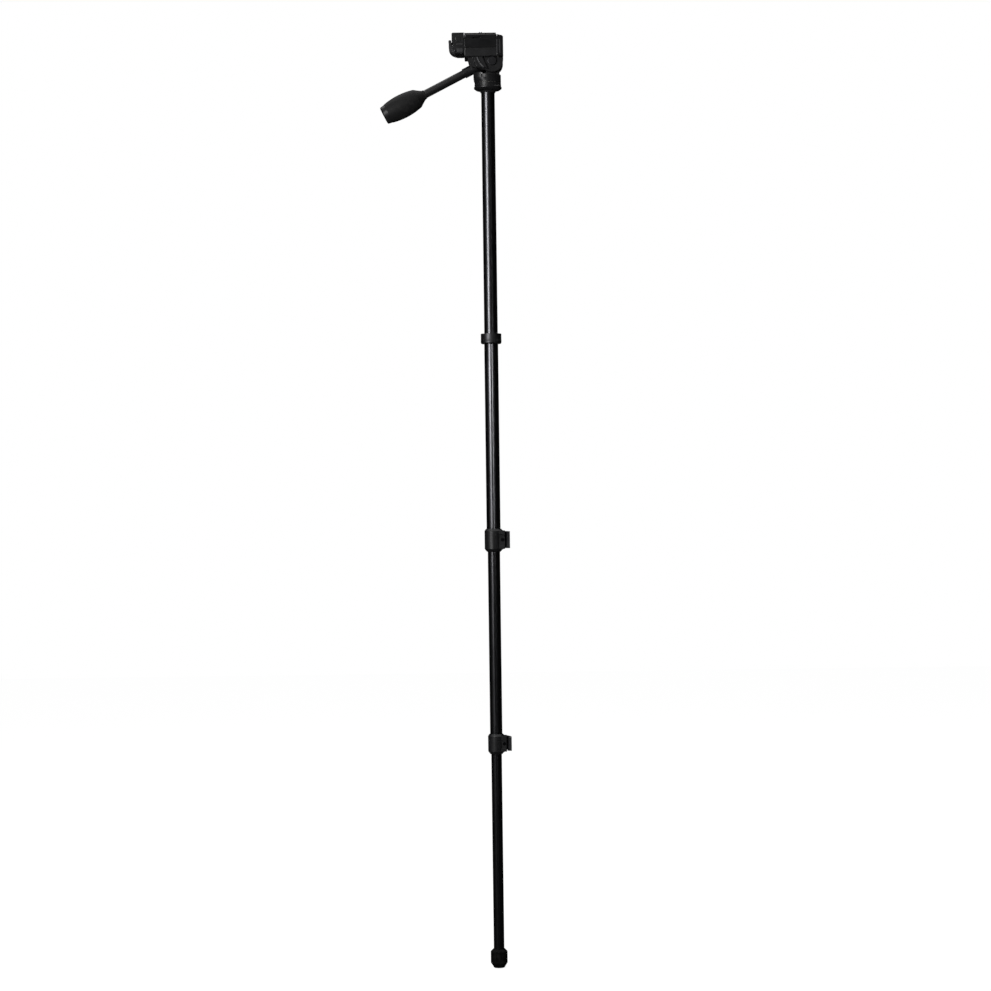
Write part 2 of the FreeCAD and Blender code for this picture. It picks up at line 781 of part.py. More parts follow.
# Handle: stud, rod, soft grip and end cap
def make_handle():
    reach = math.sqrt(tongue_r ** 2 - (handle_lift - brake_pad_r) ** 2)
    stud_start = reach + brake_pad_length + run_gap
    rod_start = socket_end - socket_bore_depth + run_gap
    tail = grip_end - grip_cap_height
    rod = post(rod_r, rod_start, tail).cut(post(handle_stud_r, rod_start, rod_start + 14))
    save("handle_rod", on_handle(rod))
    save("handle_stud", on_handle(post(handle_stud_r, stud_start, rod_start + 14)))
    neck_end = grip_start + grip_neck
    belly_start = grip_start + grip_shoulder
    half_way = (belly_start + tail) / 2
    edges = [
        Part.LineSegment(at(0, 0, grip_start), at(grip_neck_r, 0, grip_start)).toShape(),
        Part.LineSegment(at(grip_neck_r, 0, grip_start), at(grip_neck_r + 0.4, 0, neck_end)).toShape(),
        Part.Arc(
            at(grip_neck_r + 0.4, 0, neck_end),
            at(grip_neck_r + 3.6, 0, neck_end + 5.4),
            at(grip_shoulder_r, 0, belly_start),
        ).toShape(),
        Part.Arc(
            at(grip_shoulder_r, 0, belly_start),
            at(grip_belly_r, 0, half_way),
            at(grip_tail_r, 0, tail),
        ).toShape(),
        Part.LineSegment(at(grip_tail_r, 0, tail), at(0, 0, tail)).toShape(),
        Part.LineSegment(at(0, 0, tail), at(0, 0, grip_start)).toShape(),
    ]
    grip = Part.Face(Part.Wire(edges)).revolve(at(0, 0, 0), at(0, 0, 1), 360)
    grip = grip.cut(post(rod_r, grip_start - 1, tail + 1))
    save("handle_grip", on_handle(grip))
    cap = Part.makeCone(grip_tail_r - grip_cap_step, grip_cap_r, grip_cap_height, at(0, 0, tail))
    cap = rounded(cap, grip_cap_round, lambda e: level_at(e, grip_end))
    save("grip_end_cap", on_handle(cap))


# Portrait platform: hinged on the far side of the deck, with the fixed front rail
def rail_outline():
    return [
        (rail_inner - 2, flip_z),
        (rail_inner - 1.0, seat_z),
        (rail_inner - 1.0 - dovetail_run, seat_z + plate_foot - pass_gap),
        (rail_inner, seat_z + plate_foot - pass_gap),
        (rail_inner, seat_z + rail_rise),
        (rail_front - rail_edge, seat_z + rail_rise - rail_slope),
        (rail_front, seat_z + rail_rise - rail_slope - rail_edge),
        (rail_front, seat_z - flip_height - rail_drop),
        (deck_front + pass_gap, seat_z - flip_height - rail_drop),
        (deck_front + pass_gap, flip_z),
    ]


def make_flip_platform():
    body = block(-deck_rear + jaw_room, rail_inner, -deck_half, deck_half, flip_z, seat_z)
    rail = side_plate(rail_outline(), -deck_half, deck_half)
    pieces = [body, rail]
    for side in (1, -1):
        y0, y1 = sorted((side * (jaw_half + pass_gap), side * deck_half))
        cheek = block(-clamp_front, -deck_rear + 4, y0, y1, flip_z, seat_z)
        pieces.append(rounded(cheek, deck_edge, lambda e: upright(e) and abs(e.BoundBox.YMin) > deck_half - 1
                              and e.BoundBox.XMax < -deck_rear))
    knuckle_0 = -hinge_rear + knuckle_length + pass_gap
    knuckle_1 = hinge_front - knuckle_length - pass_gap
    pieces.append(bar_x(hinge_r, hinge_y, hinge_z, knuckle_0, knuckle_1))
    pieces.append(block(knuckle_0, knuckle_1, deck_half - 2, hinge_y, flip_z, hinge_z + hinge_r))
    platform = joined(pieces)
    platform = platform.cut(bar_x(hinge_pin_r + run_gap, hinge_y, hinge_z, knuckle_0 - 1, knuckle_1 + 1))
    slot_half = cheek_inner + rail_slot_gap
    platform = platform.cut(block(deck_front, rail_front + 1, -slot_half, slot_half,
                                  seat_z - 60, tilt_z + slot_roof + pass_gap))
    save("flip_platform", platform)
    pin_end = hinge_front
    save("flip_hinge_pin", bar_x(hinge_pin_r, hinge_y, hinge_z, -hinge_rear, pin_end)
         .cut(bar_x(flip_screw_r + run_gap, hinge_y, hinge_z, -hinge_rear - 1, -hinge_rear + flip_screw_depth)))


def make_flip_lock():
    face = -hinge_rear - flip_knob_gap
    wheel = turned_to(knob(flip_knob_r, flip_knob_length, flip_screw_r), at(face, hinge_y, hinge_z), at(-1, 0, 0))
    save("flip_lock_knob", wheel)
    save("flip_lock_screw", bar_x(flip_screw_r, hinge_y, hinge_z, face - flip_knob_length / 2, -hinge_rear + flip_screw_depth))


# Rear clamp block, its moving jaw and the lever that draws the jaw back
pivot_x = -lever_pivot_x
pivot_z = flip_z - lever_pivot_drop


def back_edge(edge, x, z):
    return edge.BoundBox.YLength > 20 and edge.BoundBox.XMax < x + 1 and level_at(edge, z)


def make_clamp():
    low = flip_z - clamp_drop
    high = seat_z + clamp_rise
    body = block(-clamp_rear, -clamp_front, -clamp_half, clamp_half, low, high)
    body = rounded(body, clamp_edge, lambda e: back_edge(e, -clamp_rear, high))
    body = rounded(body, clamp_round, lambda e: back_edge(e, -clamp_rear, low))
    body = rounded(body, 0.8, lambda e: across_at(e, clamp_half) or across_at(e, -clamp_half))
    finger_top = seat_z - qr_tip_drop + 1
    hollow = block(-clamp_rear - 5, -clamp_rear + finger_depth, -clamp_half - 1, clamp_half + 1,
                   finger_top - finger_height, finger_top)
    body = body.cut(rounded(hollow, finger_depth - 0.2, lambda e: e.BoundBox.YLength > 20))
    pocket_half = jaw_half + pass_gap
    jaw_back = -clamp_front - jaw_thick - jaw_travel
    body = body.cut(block(jaw_back, -clamp_front + 1, -pocket_half, pocket_half,
                          seat_z - jaw_drop - pass_gap, seat_z + plate_foot + pass_gap))
    lever_half = qr_lever_half + pass_gap
    body = body.cut(bar_y(hub_r + pass_gap, pivot_x, pivot_z, -lever_half, lever_half))
    body = body.cut(block(-clamp_rear - 1, pivot_x, -lever_half, lever_half, low - 1, pivot_z + qr_clear))
    body = body.cut(block(pivot_x - 1, pivot_x + hub_r + pass_gap, -lever_half, lever_half, low - 1, pivot_z))
    body = body.cut(bar_y(qr_pin_r, pivot_x, pivot_z, -clamp_half - 1, clamp_half + 1))
    level_z = seat_z + 1
    level_end = -clamp_half + level_length
    body = body.cut(bar_y(level_r, -level_x, level_z, -clamp_half - 1, level_end))
    body = body.cut(bar_y(level_cap_r, -level_x, level_z, -clamp_half - 1, -clamp_half + level_cap_height / 2))
    half = level_window / 2
    body = body.cut(block(-level_x - half, -level_x + half, -clamp_half + 4, level_end - 3, level_z, high + 1))
    save("clamp_block", body)
    save("level_vial", bar_y(level_r, -level_x, level_z, -clamp_half + level_cap_height / 2, level_end))
    cap_y = -clamp_half + level_cap_height / 2
    cap = bar_y(level_cap_r, -level_x, level_z, cap_y - level_cap_height, cap_y)
    save("level_cap", rounded(cap, 0.5, lambda e: across_at(e, cap_y - level_cap_height)))
    save("clamp_lever_pin", bar_y(qr_pin_r, pivot_x, pivot_z, -clamp_half, clamp_half))


def make_jaw():
    back = -clamp_front - jaw_thick
    face = -plate_rear + dovetail_run - dovetail_gap - 1.4
    outline = [
        (back, seat_z - jaw_drop),
        (face - pass_gap, seat_z - jaw_drop),
        (face - pass_gap, seat_z),
        (face + dovetail_run - pass_gap, seat_z + plate_foot - pass_gap),
        (back, seat_z + plate_foot - pass_gap),
    ]
    save("clamp_jaw", side_plate(outline, -jaw_half, jaw_half))


def make_clamp_lever():
    tip = at(-qr_tip_x, 0, seat_z - qr_tip_drop)
    hub = bar_y(hub_r, pivot_x, pivot_z, -qr_lever_half, qr_lever_half)
    waist = at(-qr_waist_x, 0, pivot_z + qr_waist_rise)
    foot = at(pivot_x - hub_r * 0.5, 0, pivot_z - hub_r * 0.86)
    inner_tip = at(tip.x + qr_lever_thick * 0.8, 0, tip.z)
    inner_waist = at(waist.x + qr_lever_thick, 0, waist.z)
    inner_foot = at(pivot_x - hub_r * 0.6, 0, pivot_z + hub_r * 0.7)
    edges = [
        Part.Arc(foot, at(-clamp_rear - qr_belly, 0, pivot_z + 1.0), waist).toShape(),
        Part.LineSegment(waist, tip).toShape(),
        Part.LineSegment(tip, inner_tip).toShape(),
        Part.LineSegment(inner_tip, inner_waist).toShape(),
        Part.LineSegment(inner_waist, inner_foot).toShape(),
        Part.LineSegment(inner_foot, foot).toShape(),
    ]
    blade = Part.Face(Part.Wire(edges)).extrude(at(0, 2 * qr_lever_half, 0))
    blade.translate(at(0, -qr_lever_half, 0))
    lever = joined([hub, blade])
    lever = rounded(lever, 4.0, lambda e: e.BoundBox.ZMin > tip.z - 0.01 and e.BoundBox.YLength < 0.01)
    save("clamp_lever", lever.cut(bar_y(qr_pin_r + run_gap, pivot_x, pivot_z, -30, 30)))


# Quick-release plate, its pad and the camera screw
def make_plate():
    foot_low = seat_z + run_gap
    foot_high = seat_z + plate_foot
    top = foot_high + plate_height
    front = rail_inner - 1.0 - dovetail_gap
    rear = -plate_rear + dovetail_run - dovetail_gap - 1.4 + pass_gap
    foot = side_plate([
        (rear, foot_low),
        (front, foot_low),
        (front - dovetail_run, foot_high),
        (rear + dovetail_run, foot_high),
    ], -plate_half, plate_half)
    upper = block(-plate_rear, plate_front, -plate_half, plate_half, foot_high, top)
    upper = rounded(upper, plate_corner, upright)
    upper = bevelled(upper, 0.8, lambda e: level_at(e, top))
    plate = joined([foot, upper])
    plate = plate.cut(block(-notch_rear, -notch_front, -plate_half - 1, -plate_half + notch_depth,
                            foot_low - 1, foot_low + notch_height))
    centre = (plate_front - plate_rear) / 2
    head_top = foot_low + pass_gap + screw_head_height
    plate = plate.cut(post(screw_head_r + pass_gap, foot_low - 1, head_top + run_gap, centre))
    plate = plate.cut(post(clip_r + pass_gap, head_top, head_top + clip_height + pass_gap, centre))
    plate = plate.cut(post(camera_screw_r + run_gap, foot_low, top + 1, centre))
    save("release_plate", plate)
    pad = block(-plate_rear + pad_inset, plate_front - pad_inset, -plate_half + pad_inset,
                plate_half - pad_inset, top, top + pad_height)
    pad = rounded(pad, plate_corner - 0.8, upright)
    pad = rounded(pad, 0.6, lambda e: level_at(e, top + pad_height))
    save("plate_pad", pad.cut(post(camera_screw_r + pass_gap, top - 1, top + pad_height + 1, centre)))
    head_low = foot_low + pass_gap
    head = post(screw_head_r, head_low, head_top, centre)
    neck = post(screw_neck_r, head_low, top + pad_height + thread_gap + 1, centre)
    thread = post(camera_screw_r, top + pad_height + thread_gap, top + pad_height + camera_screw_rise, centre)
    thread = bevelled(thread, thread_edge, lambda e: level_at(e, top + pad_height + camera_screw_rise))
    screw = joined([head, neck, thread])
    screw = screw.cut(block(centre - coin_slot / 2, centre + coin_slot / 2, -screw_head_r - 1,
                            screw_head_r + 1, head_low - 1, head_low + 1.4))
    save("camera_screw", screw)
    clip_low = head_top + run_gap
    save("camera_screw_clip", ring(clip_r, screw_neck_r, clip_low, clip_low + clip_height, centre))


make_leg()
make_foot()
make_lock("lock_1", lock_1_z, lock_1_height, tube_1_r, tube_2_r)
make_lock("lock_2", lock_2_z, lock_2_height, tube_2_r, tube_3_r)
make_column()
make_pan_base()
make_pan_housing()
make_pan_lock()
make_tilt_block()
make_tilt_axle()
make_handle()
make_flip_platform()
make_flip_lock()
make_clamp()
make_jaw()
make_clamp_lever()
make_plate()
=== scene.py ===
import json
import math

import bmesh
import bpy
from mathutils import Matrix, Vector


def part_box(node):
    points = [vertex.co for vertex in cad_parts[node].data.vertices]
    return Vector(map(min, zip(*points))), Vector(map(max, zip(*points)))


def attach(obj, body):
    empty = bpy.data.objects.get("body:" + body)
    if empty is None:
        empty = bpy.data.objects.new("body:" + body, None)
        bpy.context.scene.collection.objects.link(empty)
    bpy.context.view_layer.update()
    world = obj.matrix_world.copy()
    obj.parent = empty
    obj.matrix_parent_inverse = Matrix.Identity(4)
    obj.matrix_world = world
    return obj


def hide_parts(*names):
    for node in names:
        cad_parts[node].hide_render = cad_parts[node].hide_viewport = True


# Sizes are in metres. X runs from the handle to the front of the head, Z up from the floor
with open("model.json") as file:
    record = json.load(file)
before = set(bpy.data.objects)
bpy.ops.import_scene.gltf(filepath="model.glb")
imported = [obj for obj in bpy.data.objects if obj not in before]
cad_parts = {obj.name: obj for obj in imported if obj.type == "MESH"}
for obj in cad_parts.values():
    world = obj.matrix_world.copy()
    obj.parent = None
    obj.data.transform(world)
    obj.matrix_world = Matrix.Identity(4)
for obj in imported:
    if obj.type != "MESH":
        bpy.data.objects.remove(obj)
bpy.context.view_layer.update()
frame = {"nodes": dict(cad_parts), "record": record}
nodes = frame["nodes"]


# Nodes of a material
def start_material(name):
    material = bpy.data.materials.new(name)
    material.use_nodes = True
    return material, material.node_tree, material.node_tree.nodes["Principled BSDF"]


def add_node(tree, kind, **values):
    node = tree.nodes.new(kind)
    for key, value in values.items():
        node.inputs[key.replace("_", " ")].default_value = value
    return node


def placed_noise(tree, stretch, scale, detail=3.0, roughness=0.55):
    """Noise on the piece's own coordinates, stretched along x, y and z."""
    place = tree.nodes.new("ShaderNodeTexCoord")
    turn = add_node(tree, "ShaderNodeMapping", Scale=stretch)
    noise = add_node(tree, "ShaderNodeTexNoise", Scale=scale, Detail=detail, Roughness=roughness)
    tree.links.new(place.outputs["Object"], turn.inputs["Vector"])
    tree.links.new(turn.outputs["Vector"], noise.inputs["Vector"])
    return noise.outputs["Fac"]


def ranged(tree, value, low, high, new_low, new_high):
    node = add_node(tree, "ShaderNodeMapRange",
                    From_Min=low, From_Max=high, To_Min=new_low, To_Max=new_high)
    tree.links.new(value, node.inputs["Value"])
    return node.outputs["Result"]


def mixed_colour(tree, amount, first, second):
    node = tree.nodes.new("ShaderNodeMix")
    node.data_type = "RGBA"
    tree.links.new(amount, node.inputs["Factor"])
    for index, colour in ((6, first), (7, second)):
        if isinstance(colour, bpy.types.NodeSocket):
            tree.links.new(colour, node.inputs[index])
        else:
            node.inputs[index].default_value = (*colour, 1)
    return node.outputs[2]


def scaled(colour, gain):
    return tuple(gain * channel for channel in colour)


def softened_normal(tree, radius):
    """A normal that rounds sharp edges."""
    bevel = add_node(tree, "ShaderNodeBevel", Radius=radius)
    bevel.samples = 4
    return bevel.outputs["Normal"]


def edge_mask(tree, softened, most):
    """Rises from 0 on a face to most on the edges that a softened normal rounds."""
    place = tree.nodes.new("ShaderNodeNewGeometry")
    dot = tree.nodes.new("ShaderNodeVectorMath")
    dot.operation = "DOT_PRODUCT"
    tree.links.new(softened, dot.inputs[0])
    tree.links.new(place.outputs["Normal"], dot.inputs[1])
    return ranged(tree, dot.outputs["Value"], 0.98, 0.85, 0.0, most)


def set_surface(tree, shader, base, pattern, smooth, rough):
    """Links the base colour, and a roughness that follows a pattern."""
    tree.links.new(base, shader.inputs["Base Color"])
    tree.links.new(ranged(tree, pattern, 0.3, 0.7, smooth, rough), shader.inputs["Roughness"])


def set_bump(tree, shader, height, depth, normal):
    bump = add_node(tree, "ShaderNodeBump", Strength=1.0, Distance=depth)
    tree.links.new(height, bump.inputs["Height"])
    tree.links.new(normal, bump.inputs["Normal"])
    tree.links.new(bump.outputs["Normal"], shader.inputs["Normal"])


# Black anodised aluminium: fine drawing lines along the tube or turning lines round the collar
def anodised(name, colour, stretch, roughness, line_scale):
    material, tree, shader = start_material(name)
    normal = softened_normal(tree, 0.0003)
    cloud = placed_noise(tree, (1, 1, 0.25), 60.0)
    lines = placed_noise(tree, stretch, line_scale, 2.0)
    base = mixed_colour(tree, ranged(tree, cloud, 0.35, 0.7, 0.0, 1.0), colour, scaled(colour, 1.35))
    base = mixed_colour(tree, edge_mask(tree, normal, 0.5), base, scaled(colour, 3.0))
    set_surface(tree, shader, base, lines, roughness - 0.03, roughness + 0.05)
    shader.inputs["Metallic"].default_value = 1.0
    set_bump(tree, shader, lines, 0.000012, normal)
    return material


# Moulded nylon and painted castings: fine grain, slightly paler where edges have been handled
def moulded(name, colour, roughness, grain_scale=2600.0, grain_depth=0.00004, edge_gain=2.0,
            specular=0.35):
    material, tree, shader = start_material(name)
    normal = softened_normal(tree, 0.0006)
    cloud = placed_noise(tree, (1, 1, 1), 45.0)
    grain = placed_noise(tree, (1, 1, 1), grain_scale, 2.0, 0.6)
    base = mixed_colour(tree, ranged(tree, cloud, 0.35, 0.7, 0.0, 1.0), colour, scaled(colour, 1.5))
    base = mixed_colour(tree, edge_mask(tree, normal, 0.6), base, scaled(colour, edge_gain))
    set_surface(tree, shader, base, cloud, roughness - 0.02, roughness + 0.03)
    shader.inputs["Specular IOR Level"].default_value = specular
    set_bump(tree, shader, grain, grain_depth, normal)
    return material


# Rubber: matt, with dust that has settled in the texture
def rubbery(name, colour, roughness, grain_scale, grain_depth, dust, specular=0.3):
    material, tree, shader = start_material(name)
    dust_colour = (0.16, 0.15, 0.14)
    normal = softened_normal(tree, 0.0005)
    cloud = placed_noise(tree, (1, 1, 1), 90.0, 5.0, 0.65)
    grain = placed_noise(tree, (1, 1, 1), grain_scale, 3.0, 0.6)
    base = mixed_colour(tree, ranged(tree, cloud, 0.5, 0.8, 0.0, dust), colour, dust_colour)
    base = mixed_colour(tree, edge_mask(tree, normal, 0.3), base, scaled(colour, 3.0))
    set_surface(tree, shader, base, cloud, roughness - 0.06, roughness + 0.06)
    shader.inputs["Specular IOR Level"].default_value = specular
    set_bump(tree, shader, grain, grain_depth, normal)
    return material


# Bare metal: turned, with a faint stain
def bare_metal(name, colour, roughness):
    material, tree, shader = start_material(name)
    normal = softened_normal(tree, 0.0002)
    cloud = placed_noise(tree, (1, 1, 1), 160.0, 4.0)
    lines = placed_noise(tree, (1, 1, 12), 900.0, 2.0)
    base = mixed_colour(tree, ranged(tree, cloud, 0.4, 0.75, 0.0, 1.0), colour, scaled(colour, 0.7))
    set_surface(tree, shader, base, lines, roughness - 0.06, roughness + 0.08)
    shader.inputs["Metallic"].default_value = 1.0
    set_bump(tree, shader, lines, 0.00001, normal)
    return material


# Level vial and its bubble: glossy acrylic, coloured, with a faint painted glow from emission, though
# the vial is no lamp
def level_acrylic(name, deep, pale):
    material, tree, shader = start_material(name)
    cloud = placed_noise(tree, (1, 1, 1), 220.0)
    tree.links.new(mixed_colour(tree, cloud, deep, pale), shader.inputs["Base Color"])
    shader.inputs["Roughness"].default_value = 0.06
    shader.inputs["Coat Weight"].default_value = 1.0
    shader.inputs["Coat Roughness"].default_value = 0.03
    # Painted glow: a faint green emission that lights the vial and bubble, though they are no lamp
    shader.inputs["Emission Color"].default_value = (0.35, 0.6, 0.05, 1)
    shader.inputs["Emission Strength"].default_value = 0.05
    return material


# Finishes. Lines run along Z on the tubes and round Z on the collar
along_z = (1, 1, 0.02)
round_z = (0.02, 0.02, 1)
casting_black = (0.0048, 0.0048, 0.0053)

tube_finish = anodised("anodised_tube", (0.063, 0.063, 0.067), along_z, 0.29, 1600.0)
collar_finish = anodised("anodised_turned", (0.058, 0.058, 0.061), round_z, 0.42, 2400.0)

nylon_finish = moulded("moulded_nylon", (0.0045, 0.0045, 0.0050), 0.40, specular=0.48)
head_finish = moulded("head_casting", casting_black, 0.32, 2200.0, specular=0.42)
housing_finish = moulded("housing_casting", casting_black, 0.38, 2200.0, specular=0.28)
rail_finish = moulded("rail_casting", (0.0032, 0.0032, 0.0036), 0.30, 2200.0, 0.00002,
                      specular=0.28)
plate_finish = moulded("plate_casting", (0.0036, 0.0036, 0.0040), 0.30, 2200.0, 0.00002,
                       specular=0.28)
rod_finish = moulded("painted_steel", (0.0045, 0.0045, 0.0048), 0.44, 1400.0, 0.00003,
                     specular=0.3)
# Satin trim for the clamp's raised panels: a real satin finish from its roughness, with a paler grey
# that is a painted highlight for the light the panels catch
trim_finish = moulded("satin_trim_painted_sheen", (0.016, 0.016, 0.017), 0.38, grain_depth=0.00002,
                      specular=0.45)
# Cheek ridges: a paler grey that is a painted highlight, standing in for the bright streak the light
# draws along them
ridge_sheen_finish = moulded("ridge_painted_sheen", (0.034, 0.034, 0.036), 0.36, grain_depth=0.00002,
                       specular=0.5)
end_finish = moulded("satin_end", (0.0055, 0.0055, 0.0060), 0.40, grain_depth=0.00001,
                     specular=0.25)
cap_finish = moulded("gloss_nylon", (0.006, 0.006, 0.0065), 0.30, grain_depth=0.00001,
                     specular=0.5)
# Lever nylon: a dark grey paler than the body, partly its own tone and partly a painted highlight on
# the lit blade
lever_finish = moulded("lever_nylon", (0.012, 0.012, 0.013), 0.38, grain_depth=0.00003)
knob_finish = moulded("knob_nylon", (0.008, 0.008, 0.009), 0.46, 1800.0, 0.00005)
bush_finish = moulded("natural_nylon", (0.60, 0.58, 0.52), 0.45, 1800.0, 0.00003, edge_gain=1.2)

foot_finish = rubbery("foot_rubber", (0.0016, 0.0016, 0.0016), 0.70, 900.0, 0.00008, 0.04, 0.10)
grip_finish = rubbery("grip_rubber", (0.0050, 0.0050, 0.0052), 0.66, 1500.0, 0.00006, 0.05, 0.18)
pad_finish = rubbery("pad_rubber", (0.009, 0.0085, 0.0085), 0.80, 1100.0, 0.00012, 0.10)

steel_finish = bare_metal("plated_steel", (0.56, 0.57, 0.60), 0.28)
dark_steel_finish = bare_metal("black_oxide_steel", (0.045, 0.045, 0.048), 0.36)
nut_finish = bare_metal("blackened_nut", (0.010, 0.010, 0.011), 0.46)
brass_finish = bare_metal("turned_brass", (0.78, 0.58, 0.26), 0.28)

vial_finish = level_acrylic("level_acrylic", (0.42, 0.62, 0.05), (0.55, 0.78, 0.12))
bubble_finish = level_acrylic("level_air", (0.75, 0.90, 0.45), (0.85, 0.95, 0.60))

slot_finish = {
    "tube": tube_finish,
    "collar": collar_finish,
    "moulding": nylon_finish,
    "lever": lever_finish,
    "rubber": foot_finish,
    "grip": grip_finish,
    "steel": steel_finish,
    "black_steel": dark_steel_finish,
    "brass": brass_finish,
    "nylon": bush_finish,
    "level": vial_finish,
}
node_finish = {
    "pan_base": housing_finish,
    "pan_housing": housing_finish,
    "pan_lock_knob": knob_finish,
    "tilt_block": head_finish,
    "flip_platform": rail_finish,
    "flip_lock_knob": knob_finish,
    "clamp_block": head_finish,
    "level_cap": head_finish,
    "release_plate": plate_finish,
    "plate_pad": pad_finish,
    "handle_rod": rod_finish,
    "grip_end_cap": end_finish,
    "lock_1_nut": nut_finish,
    "lock_2_nut": nut_finish,
    "lock_1_bolt": nut_finish,
    "lock_2_bolt": nut_finish,
}
for part in frame["record"]["subparts"]:
    finish = node_finish.get(part["node"], slot_finish[part["material_slot"]])
    for slot in nodes[part["node"]].material_slots:
        slot.material = finish


# New pieces: threads, trim and small fasteners
def place_piece(shape, name, body, finish, bars=False):
    """Makes the object; a piece of bevelled bars keeps flat faces flat and shades its bevels round."""
    bmesh.ops.remove_doubles(shape, verts=shape.verts, dist=0.000002)
    bmesh.ops.recalc_face_normals(shape, faces=shape.faces)
    mesh = bpy.data.meshes.new(name)
    shape.to_mesh(mesh)
    shape.free()
    for face in mesh.polygons:
        face.use_smooth = True
    if bars:
        normals = [Vector() for _ in mesh.vertices]
        for face in mesh.polygons:
            for index in face.vertices:
                normals[index] += face.normal * face.area
        mesh.normals_split_custom_set_from_vertices([normal.normalized() for normal in normals])
    else:
        mesh.set_sharp_from_angle(angle=math.radians(35))
    mesh.materials.append(finish)
    piece = bpy.data.objects.new(name, mesh)
    bpy.context.scene.collection.objects.link(piece)
    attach(piece, body)
    return piece


def spin_outline(shape, outline, place, steps=48):
    """Turns (radius, height) points about the local Z axis, then puts the form in place."""
    before = set(shape.verts)
    points = [shape.verts.new((radius, 0, height)) for radius, height in outline]
    edges = [shape.edges.new(pair) for pair in zip(points, points[1:])]
    bmesh.ops.spin(shape, geom=points + edges, cent=(0, 0, 0), axis=(0, 0, 1), dvec=(0, 0, 0),
                   angle=math.tau, steps=steps, use_merge=True, use_duplicate=False)
    made = [v for v in shape.verts if v not in before]
    bmesh.ops.transform(shape, matrix=place, verts=made)


def bevelled_bar(shape, low, high, edge):
    """A bar between two corners, with all its edges bevelled. Returns its vertices."""
    before = set(shape.verts)
    cube = bmesh.ops.create_cube(shape, size=1.0)["verts"]
    bmesh.ops.scale(shape, vec=Vector(high) - Vector(low), verts=cube)
    bmesh.ops.translate(shape, vec=(Vector(high) + Vector(low)) / 2, verts=cube)
    edges = list({e for v in cube for e in v.link_edges})
    bmesh.ops.bevel(shape, geom=edges, offset=edge, segments=2, profile=0.5, affect="EDGES",
                    material=-1)
    return [v for v in shape.verts if v not in before]


def helix(shape, outline, pitch, turns, start):
    """Winds a closed outline of (radius, height) points up about the Z axis through start."""
    steps_per_turn = 32
    points = [shape.verts.new((radius, 0, height)) for radius, height in outline]
    edges = [shape.edges.new(pair) for pair in zip(points, points[1:] + points[:1])]
    bmesh.ops.translate(shape, vec=start, verts=points)
    bmesh.ops.spin(shape, geom=points + edges, cent=start, axis=(0, 0, 1),
                   dvec=(0, 0, pitch / steps_per_turn), angle=math.tau * turns,
                   steps=int(steps_per_turn * turns), use_merge=False, use_duplicate=False)
    bmesh.ops.holes_fill(shape, edges=[e for e in shape.edges if e.is_boundary], sides=8)


def star_screw(shape, radius, height, place):
    """A domed screw head with a six-lobed socket, standing on the local z = 0."""
    made = bmesh.ops.create_circle(shape, segments=24, radius=radius, cap_ends=True)["verts"]
    foot = list({f for v in made for f in v.link_faces})
    top = bmesh.ops.extrude_face_region(shape, geom=foot, use_keep_orig=True)["geom"]
    lifted = [g for g in top if isinstance(g, bmesh.types.BMVert)]
    bmesh.ops.translate(shape, vec=(0, 0, height * 0.55), verts=lifted)
    face = [g for g in top if isinstance(g, bmesh.types.BMFace)]
    bmesh.ops.inset_region(shape, faces=face, thickness=radius * 0.18, depth=height * 0.3)
    bmesh.ops.inset_region(shape, faces=face, thickness=radius * 0.25, depth=height * 0.15)
    rim = list(face[0].verts)
    between_lobes = [corner for index, corner in enumerate(rim) if index % 4 < 2]
    bmesh.ops.scale(shape, vec=(0.78, 0.78, 1), verts=between_lobes)
    socket = bmesh.ops.extrude_face_region(shape, geom=face)["geom"]
    sunk = [g for g in socket if isinstance(g, bmesh.types.BMVert)]
    bmesh.ops.translate(shape, vec=(0, 0, -height * 0.6), verts=sunk)
    every = made + lifted + rim + sunk
    every += [v for e in {e for v in every for e in v.link_edges} for v in e.verts]
    bmesh.ops.transform(shape, matrix=place, verts=list(set(every)))


def facing(direction, point):
    """Turns local +Z to face a direction, at a point."""
    turn = Vector(direction).to_track_quat("Z", "Y").to_matrix().to_4x4()
    return Matrix.Translation(point) @ turn


# Camera screw: a dished head with a finger bar below the plate, and a quarter-inch thread above
# the pad, with twenty turns to the inch
def make_camera_screw():
    low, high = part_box("camera_screw")
    pad_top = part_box("plate_pad")[1][2]
    head_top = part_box("camera_screw_clip")[0][2] - 0.00005
    x = (low[0] + high[0]) / 2
    head_radius = (high[0] - low[0]) / 2
    dish_radius, dish_depth = 0.0060, 0.0012
    core_radius, crest_radius, pitch = 0.00255, 0.003175, 0.00127
    chamfer, soft_corner = 0.0005, 0.0004
    shape = bmesh.new()
    spin_outline(shape, [
        (0.0, low[2] + dish_depth), (dish_radius, low[2] + dish_depth),
        (dish_radius + soft_corner, low[2]), (head_radius - chamfer, low[2]),
        (head_radius, low[2] + chamfer), (head_radius, head_top - soft_corner),
        (head_radius - soft_corner, head_top), (core_radius, head_top),
        (core_radius, high[2] - chamfer), (core_radius - chamfer, high[2]), (0.0, high[2]),
    ], Matrix.Translation((x, 0, 0)), 64)

    root_radius = core_radius - 0.0002
    half_root, half_crest = pitch * 0.42, pitch * 0.06
    start = pad_top + 0.0004 + half_root
    end = high[2] - 0.0003 - half_root
    helix(shape, [(root_radius, -half_root), (crest_radius, -half_crest),
                  (crest_radius, half_crest), (root_radius, half_root)],
          pitch, (end - start) / pitch, (x, 0, start))

    bar_reach, bar_half, bar_height = 0.0062, 0.0008, 0.0014
    bevelled_bar(shape, (x - bar_reach, -bar_half, low[2]),
                 (x + bar_reach, bar_half, low[2] + bar_height), 0.0002)
    screw = place_piece(shape, "camera_screw_threaded", "camera_screw", steel_finish)
    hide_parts("camera_screw")


make_camera_screw()


